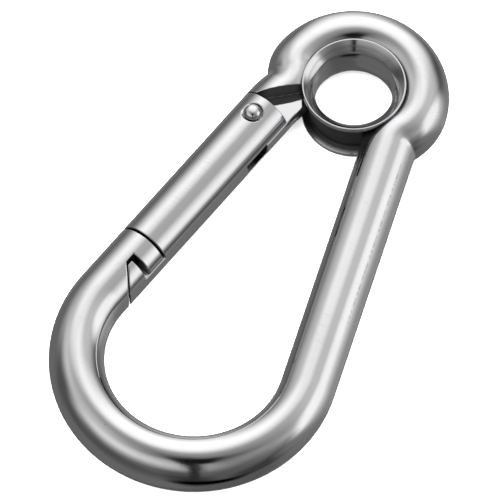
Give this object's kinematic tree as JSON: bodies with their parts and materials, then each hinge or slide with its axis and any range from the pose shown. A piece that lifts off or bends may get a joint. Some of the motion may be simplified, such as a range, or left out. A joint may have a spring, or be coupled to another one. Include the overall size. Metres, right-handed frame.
{
  "type": "spring snap hook",
  "caption": "Pear-shaped spring snap hook bent from round bar, with a sprung hinged gate and a flared eyelet in its eye, for quick boat and rigging connections.",
  "frame": {"origin": "centre of the eyelet's bore, in the hook's middle plane", "axes": "+Z along the eyelet's axis; +Y along the hook from its bottom bend towards the eye; +X towards the unbroken side of the hook, away from the gate"},
  "size_m": [0.052, 0.1034, 0.0114],
  "materials": {
    "polished_bar": "mirror-polished stainless steel",
    "polished_eyelet": "pressed and polished stainless steel",
    "polished_gate": "mirror-polished stainless steel",
    "polished_rivet": "polished stainless steel with peened domed heads",
    "spring_wire": "bright drawn spring wire",
    "turned_steel": "turned stainless steel"
  },
  "bodies": {
    "hook": {"hook_body": "polished_bar", "eyelet": "polished_eyelet"},
    "gate": {"gate": "polished_gate", "gate_rivet": "polished_rivet", "gate_spring": "spring_wire"},
    "plunger": {"plunger": "turned_steel"}
  },
  "joints": [
    {"name": "gate_hinge", "type": "hinge", "parent": "hook", "child": "gate", "pos_m": [-0.01326, -0.01372, 0], "axis": [0, 0, 1], "range_deg": [0, 30], "stiffness_Nm_per_rad": 0.2, "springref_deg": -34.38},
    {"name": "plunger_slide", "type": "slide", "parent": "gate", "child": "plunger", "axis": [-0.1685, -0.9857, 0], "range_m": [0, 0.00215], "deforming": ["gate_spring"]}
  ],
  "couplings": [
    {"joint": "plunger_slide", "follows": "gate_hinge", "m_per_rad": 0.0039}
  ]
}
